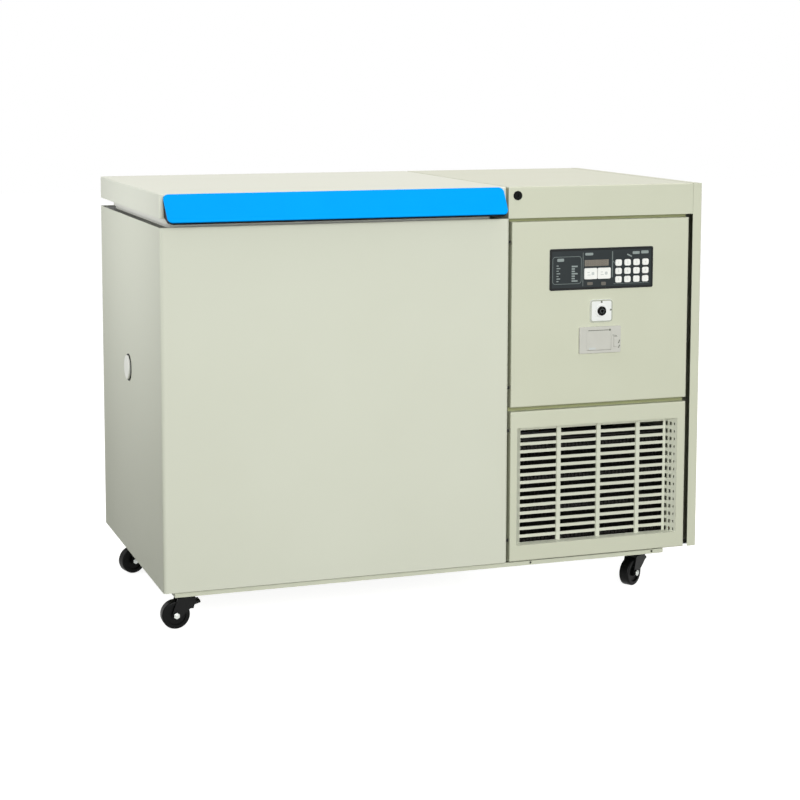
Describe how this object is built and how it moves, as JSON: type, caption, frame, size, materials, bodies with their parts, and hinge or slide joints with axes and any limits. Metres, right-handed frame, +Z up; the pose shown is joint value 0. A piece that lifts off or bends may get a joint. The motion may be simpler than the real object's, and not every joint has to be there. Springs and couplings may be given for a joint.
{
  "type": "chest ultra low temperature freezer",
  "caption": "Low insulated chest on casters with a hinged, gasketed lid, a long lid handle, a side access port and a machine compartment with controls and an air grille on the right.",
  "frame": {"origin": "on the floor, under the middle of the whole object's box", "axes": "+X to the right, along the long side; +Y to the back, through the depth; +Z up"},
  "size_m": [1.301, 0.752, 0.962],
  "materials": {
    "cream_paint": "satin",
    "steel_liner": "satin",
    "foam": "matte",
    "rim_plastic": "matte",
    "copper": "satin",
    "black_plastic": "matte",
    "white_plastic": "satin",
    "cap_plastic": "matte",
    "grille_plastic": "matte",
    "zinc": "satin",
    "fin_aluminium": "matte",
    "compressor_black": "satin",
    "rubber_black": "matte",
    "lagging": "matte",
    "board": "matte",
    "display_panel": "satin",
    "display_glass": "gloss",
    "key_silicone": "matte",
    "recorder_plastic": "matte",
    "black_metal": "satin",
    "blue_plastic": "satin",
    "gasket_rubber": "matte",
    "lid_plastic": "matte",
    "wheel_rubber": "matte"
  },
  "bodies": {
    "cabinet": {"chest_shell": "cream_paint", "chest_insulation": "foam", "chest_liner": "steel_liner", "chest_rim": "rim_plastic", "evaporator_coil": "copper", "port_tube": "black_plastic", "base_frame": "cream_paint", "base_pan": "zinc", "side_panel": "cream_paint", "back_panel": "cream_paint", "top_cover": "cream_paint", "panel_frame": "cream_paint", "control_panel": "cream_paint", "grille_panel": "cream_paint", "grille": "grille_plastic", "condenser": "fin_aluminium", "fan_shroud": "zinc", "fan_motor": "compressor_black", "compressors": "compressor_black", "compressor_grommets": "rubber_black", "heat_exchanger": "lagging", "filter_driers": "copper", "refrigerant_pipes": "copper", "electrical_box": "zinc", "control_board": "board", "power_inlet": "black_plastic", "display_bezel": "display_panel", "display_window": "display_glass", "key_switch_plate": "white_plastic", "recorder_body": "recorder_plastic", "lid_lock_body": "black_metal", "hinge_brackets": "zinc", "hinge_pins": "zinc", "caster_plates": "zinc"},
    "lid": {"lid_shell": "cream_paint", "lid_insulation": "foam", "lid_liner": "lid_plastic", "lid_gasket": "gasket_rubber", "lid_handle_cover": "blue_plastic", "lid_handle_core": "black_plastic", "hinge_arms": "zinc"},
    "number_keys": {"number_keys": "key_silicone"},
    "function_key_left": {"function_key_left": "key_silicone"},
    "function_key_right": {"function_key_right": "key_silicone"},
    "key_switch": {"key_switch_barrel": "black_metal"},
    "recorder_door": {"recorder_door": "recorder_plastic"},
    "recorder_rocker": {"recorder_rocker": "recorder_plastic"},
    "lid_lock": {"lid_lock_barrel": "black_metal"},
    "condenser_fan": {"condenser_fan": "black_plastic"},
    "port_cap": {"port_cap": "cap_plastic"},
    "fork_front_left": {"fork_front_left": "black_metal"},
    "wheel_front_left": {"wheel_front_left": "wheel_rubber"},
    "brake_pedal_front_left": {"brake_pedal_front_left": "black_metal"},
    "fork_front_right": {"fork_front_right": "black_metal"},
    "wheel_front_right": {"wheel_front_right": "wheel_rubber"},
    "brake_pedal_front_right": {"brake_pedal_front_right": "black_metal"},
    "fork_back_left": {"fork_back_left": "black_metal"},
    "wheel_back_left": {"wheel_back_left": "wheel_rubber"},
    "fork_back_right": {"fork_back_right": "black_metal"},
    "wheel_back_right": {"wheel_back_right": "wheel_rubber"}
  },
  "joints": [
    {"name": "lid_hinge", "type": "hinge", "parent": "cabinet", "child": "lid", "pos_m": [-0.245, 0.368, 0.9], "axis": [-1, 0, 0], "range_deg": [0, 85]},
    {"name": "number_keys_press", "type": "slide", "parent": "cabinet", "child": "number_keys", "axis": [0, 1, 0], "range_m": [0, 0.0006], "stiffness_N_per_m": 600},
    {"name": "function_key_left_press", "type": "slide", "parent": "cabinet", "child": "function_key_left", "axis": [0, 1, 0], "range_m": [0, 0.0006], "stiffness_N_per_m": 400},
    {"name": "function_key_right_press", "type": "slide", "parent": "cabinet", "child": "function_key_right", "axis": [0, 1, 0], "range_m": [0, 0.0006], "stiffness_N_per_m": 400},
    {"name": "key_switch_turn", "type": "hinge", "parent": "cabinet", "child": "key_switch", "pos_m": [0.3924, -0.334, 0.6698], "axis": [0, 1, 0], "range_deg": [0, 90]},
    {"name": "recorder_door_hinge", "type": "hinge", "parent": "cabinet", "child": "recorder_door", "pos_m": [0.3861, -0.33745, 0.57965], "axis": [1, 0, 0], "range_deg": [0, 90]},
    {"name": "recorder_rocker_tilt", "type": "hinge", "parent": "cabinet", "child": "recorder_rocker", "pos_m": [0.4285, -0.338, 0.5965], "axis": [1, 0, 0], "range_deg": [-5, 5]},
    {"name": "lid_lock_turn", "type": "hinge", "parent": "cabinet", "child": "lid_lock", "pos_m": [0.1805, -0.334, 0.942], "axis": [0, 1, 0], "range_deg": [0, 60]},
    {"name": "condenser_fan_spin", "type": "hinge", "parent": "cabinet", "child": "condenser_fan", "pos_m": [0.3943, -0.16, 0.229], "axis": [0, 1, 0], "continuous": true},
    {"name": "port_cap_pull", "type": "slide", "parent": "cabinet", "child": "port_cap", "axis": [-1, 0, 0], "range_m": [0, 0.028]},
    {"name": "swivel_front_left", "type": "hinge", "parent": "cabinet", "child": "fork_front_left", "pos_m": [-0.5845, -0.284, 0.07], "axis": [0, 0, 1], "continuous": true},
    {"name": "roll_front_left", "type": "hinge", "parent": "fork_front_left", "child": "wheel_front_left", "pos_m": [-0.6095, -0.284, 0.0315], "axis": [0, -1, 0], "continuous": true},
    {"name": "brake_front_left", "type": "hinge", "parent": "fork_front_left", "child": "brake_pedal_front_left", "pos_m": [-0.5755, -0.284, 0.05], "axis": [0, 1, 0], "range_deg": [0, 12]},
    {"name": "swivel_front_right", "type": "hinge", "parent": "cabinet", "child": "fork_front_right", "pos_m": [0.5165, -0.284, 0.07], "axis": [0, 0, 1], "continuous": true},
    {"name": "roll_front_right", "type": "hinge", "parent": "fork_front_right", "child": "wheel_front_right", "pos_m": [0.49553, -0.29762, 0.0315], "axis": [0.5446, -0.8387, 0], "continuous": true},
    {"name": "brake_front_right", "type": "hinge", "parent": "fork_front_right", "child": "brake_pedal_front_right", "pos_m": [0.52405, -0.2791, 0.05], "axis": [-0.5446, 0.8387, 0], "range_deg": [0, 12]},
    {"name": "swivel_back_left", "type": "hinge", "parent": "cabinet", "child": "fork_back_left", "pos_m": [-0.5845, 0.206, 0.07], "axis": [0, 0, 1], "continuous": true},
    {"name": "roll_back_left", "type": "hinge", "parent": "fork_back_left", "child": "wheel_back_left", "pos_m": [-0.60853, 0.19911, 0.0315], "axis": [0.2756, -0.9613, 0], "continuous": true},
    {"name": "swivel_back_right", "type": "hinge", "parent": "cabinet", "child": "fork_back_right", "pos_m": [0.5165, 0.206, 0.07], "axis": [0, 0, 1], "continuous": true},
    {"name": "roll_back_right", "type": "hinge", "parent": "fork_back_right", "child": "wheel_back_right", "pos_m": [0.49205, 0.2112, 0.0315], "axis": [-0.2079, -0.9781, 0], "continuous": true}
  ]
}
